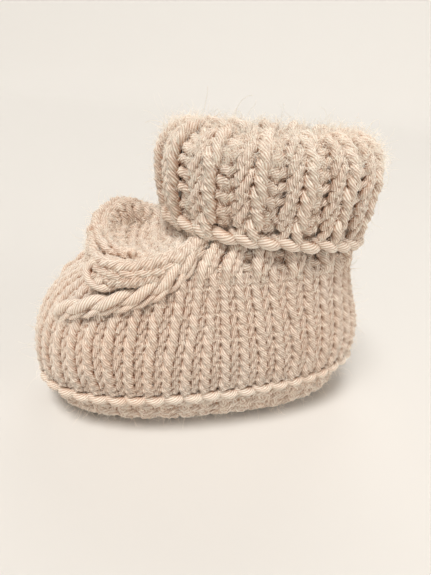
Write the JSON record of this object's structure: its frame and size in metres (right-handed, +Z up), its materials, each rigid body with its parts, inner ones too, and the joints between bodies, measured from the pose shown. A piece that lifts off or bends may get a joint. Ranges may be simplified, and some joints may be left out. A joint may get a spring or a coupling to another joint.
{
  "type": "knitted baby bootie",
  "caption": "Hand-knitted baby bootie: rounded sole, stockinette foot, dished instep with a rolled welt round it, and a ribbed cuff folded down over the ankle.",
  "frame": {"origin": "centre of the bounding box in plan, at the level of the flat the sole stands on", "axes": "+X from heel to toe, +Y towards one side of the foot, +Z up the leg"},
  "size_m": [0.0912, 0.0466, 0.074],
  "materials": {
    "wool_foot": "fuzzy plied wool, stockinette",
    "wool_instep": "fuzzy plied wool, rolled stockinette and purl",
    "wool_rib": "fuzzy plied wool, knit one purl one rib",
    "wool_edge": "fuzzy plied wool, cast-off chain and garter ridge"
  },
  "bodies": {
    "root": {"sole": "wool_foot", "sole_ridge": "wool_edge", "foot_wall": "wool_foot", "instep_panel": "wool_instep", "instep_welt": "wool_instep", "left_braid": "wool_instep", "right_braid": "wool_instep", "ankle_rib": "wool_rib", "turned_cuff": "wool_rib", "cast_off_edge": "wool_edge"}
  },
  "joints": []
}
